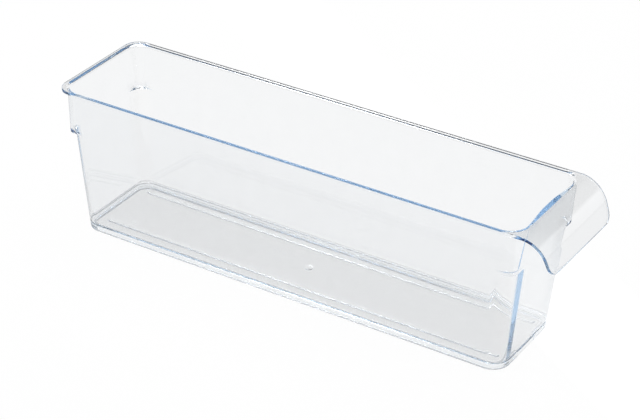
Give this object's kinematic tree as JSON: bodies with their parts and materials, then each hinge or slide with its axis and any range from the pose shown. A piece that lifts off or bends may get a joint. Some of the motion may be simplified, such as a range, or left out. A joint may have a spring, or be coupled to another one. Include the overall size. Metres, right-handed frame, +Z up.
{
  "type": "refrigerator storage bin",
  "caption": "Slim clear open-top bin for a fridge shelf, with drafted walls, a flat rim, corner stacking ledges and a curved pull lip.",
  "frame": {"origin": "middle of the box's base, on the surface that the foot stands on", "axes": "+Z up, +Y towards the rear wall, -Y towards the pull lip, +X to the right seen from the pull lip"},
  "size_m": [0.095, 0.3999, 0.1184],
  "materials": {
    "clear_plastic": "clear, smooth and glossy, faintly blue where seen edge on"
  },
  "bodies": {
    "root": {"tub_floor": "clear_plastic", "wall_left": "clear_plastic", "wall_right": "clear_plastic", "wall_front": "clear_plastic", "wall_rear": "clear_plastic", "corner_front_left": "clear_plastic", "corner_front_right": "clear_plastic", "corner_rear_left": "clear_plastic", "corner_rear_right": "clear_plastic", "rim_flange": "clear_plastic", "pull_lip": "clear_plastic", "foot_rail_left": "clear_plastic", "foot_rail_right": "clear_plastic", "foot_strip_front": "clear_plastic", "foot_strip_rear": "clear_plastic", "floor_rib_left": "clear_plastic", "floor_rib_right": "clear_plastic", "gate_mark": "clear_plastic", "rear_floor_mark": "clear_plastic"}
  },
  "joints": []
}
